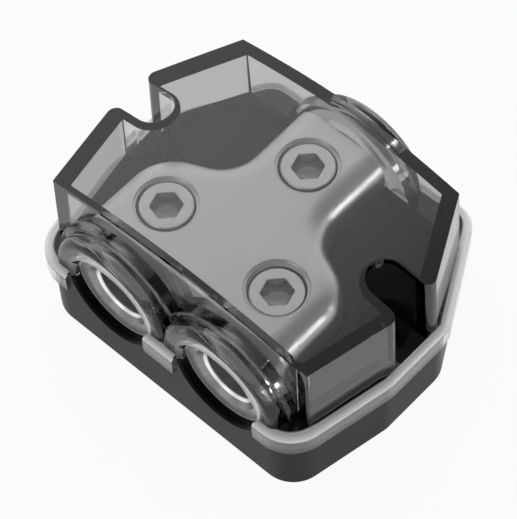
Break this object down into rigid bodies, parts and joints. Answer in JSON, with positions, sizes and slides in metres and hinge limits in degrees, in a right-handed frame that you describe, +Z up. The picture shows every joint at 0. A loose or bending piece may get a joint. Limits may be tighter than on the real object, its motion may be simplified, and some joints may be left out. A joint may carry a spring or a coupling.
{
  "type": "power distribution block",
  "caption": "Insulated terminal block that splits one battery cable into outgoing cables, with set-screw clamps, a moulded base and a clear cover.",
  "frame": {"origin": "middle of the underside", "axes": "+X to the right seen from the two output ports, +Y from the output ports towards the input port, +Z up"},
  "size_m": [0.0682, 0.0558, 0.0346],
  "materials": {
    "base_plastic": "fine moulded texture",
    "cover_plastic": "clear smoked, polished",
    "plated_metal": "satin plated",
    "screw_metal": "satin plated",
    "fixing_metal": "zinc plated"
  },
  "bodies": {
    "body": {"base": "base_plastic", "terminal_block": "plated_metal", "block_screw_front": "fixing_metal", "block_screw_rear": "fixing_metal"},
    "lid": {"cover": "cover_plastic"},
    "screw_output_left": {"set_screw_output_left": "screw_metal"},
    "screw_output_right": {"set_screw_output_right": "screw_metal"},
    "screw_input": {"set_screw_input": "screw_metal"}
  },
  "joints": [
    {"name": "cover_lift", "type": "slide", "parent": "body", "child": "lid", "axis": [0, 0, 1], "range_m": [0, 0.03]},
    {"name": "output_left_clamp", "type": "slide", "parent": "body", "child": "screw_output_left", "axis": [0, 0, 1], "range_m": [-0.005, 0.0003]},
    {"name": "output_right_clamp", "type": "slide", "parent": "body", "child": "screw_output_right", "axis": [0, 0, 1], "range_m": [-0.005, 0.0011]},
    {"name": "input_clamp", "type": "slide", "parent": "body", "child": "screw_input", "axis": [0, 0, 1], "range_m": [-0.005, 0.0003]}
  ]
}
